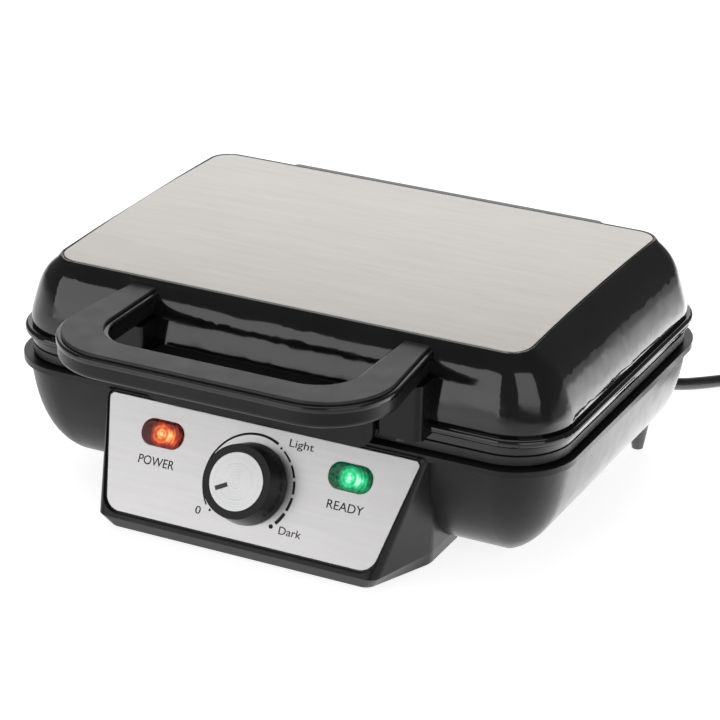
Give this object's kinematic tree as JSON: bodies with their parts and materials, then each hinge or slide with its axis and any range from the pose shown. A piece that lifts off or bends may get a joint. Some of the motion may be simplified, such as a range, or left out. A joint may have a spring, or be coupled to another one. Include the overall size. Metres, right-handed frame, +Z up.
{
  "type": "waffle maker",
  "caption": "Countertop waffle maker with a hinged domed lid, U-shaped handle, sloping control panel with a turning dial, studded cooking plates and a mains cord.",
  "frame": {"origin": "on the table under the middle of the object, without its cord", "axes": "+Z up, +X to the right seen from the front, -Y towards the user: the control panel and the handle face -Y, the hinge is at +Y"},
  "size_m": [0.414, 0.3996, 0.1226],
  "materials": {
    "lid_gloss": "high-gloss black moulding",
    "handle_gloss": "polished black trim line",
    "handle_satin": "satin dark grey cover",
    "base_satin": "fine-textured satin black moulding",
    "handle_matte": "matte black moulding",
    "hinge_black": "black painted steel",
    "lid_steel": "brushed side to side",
    "panel_steel": "fine brushed",
    "knob_black": "black moulding",
    "knob_aluminium": "turned, with fine rings",
    "pointer_black": "black mark",
    "lens_red": "red moulded lens",
    "lens_green": "green moulded lens",
    "lamp": "clear lamp glass",
    "nonstick": "black non-stick coating on cast aluminium",
    "heater_steel": "dull heating tube",
    "reflector_metal": "plain sheet",
    "thermostat_case": "moulded insulating case",
    "terminal_white": "ceramic-like block",
    "plated_steel": "zinc-plated steel",
    "foot_rubber": "soft black rubber",
    "cord_black": "black sheathed lead",
    "tie_black": "black strip",
    "pin_nickel": "nickel-plated brass"
  },
  "bodies": {
    "base": {"base_shell": "base_satin", "base_rim": "base_satin", "control_housing": "base_satin", "hinge_brackets": "hinge_black", "control_panel": "panel_steel", "power_window": "lens_red", "ready_window": "lens_green", "pilot_lamps": "lamp", "lower_plate": "nonstick", "lower_heater": "heater_steel", "lower_reflector": "reflector_metal", "thermostat": "thermostat_case", "terminal_block": "terminal_white", "thermostat_nut": "plated_steel", "base_screws": "plated_steel", "hinge_pins": "plated_steel", "thermal_fuse": "plated_steel", "rear_feet": "foot_rubber", "front_feet": "foot_rubber", "cord_gland": "cord_black", "cord_lead": "cord_black", "cord_coil": "cord_black", "cord_tail": "cord_black", "plug_body": "cord_black", "cord_tie": "tie_black", "plug_pins": "pin_nickel"},
    "lid": {"lid_shell": "lid_gloss", "lid_plate": "lid_steel", "lid_rim": "lid_gloss", "rear_cover": "lid_gloss", "handle_cover": "handle_satin", "handle_trim": "handle_gloss", "handle_grip": "handle_matte", "handle_brackets": "handle_matte", "handle_screws": "hinge_black", "handle_apron": "handle_matte", "upper_plate": "nonstick", "upper_heater": "heater_steel", "upper_reflector": "reflector_metal", "lid_knuckles": "hinge_black"},
    "dial": {"dial_knob": "knob_black", "knob_cap": "knob_aluminium", "knob_pointer": "pointer_black", "thermostat_shaft": "plated_steel"}
  },
  "joints": [
    {"name": "lid_hinge", "type": "hinge", "parent": "base", "child": "lid", "pos_m": [0, 0.14405, 0.075], "axis": [-1, 0, 0], "range_deg": [0, 100]},
    {"name": "dial_turn", "type": "hinge", "parent": "base", "child": "dial", "pos_m": [0, -0.09193, 0.03689], "axis": [0, -0.8788, 0.4772], "range_deg": [-254, 16]}
  ]
}
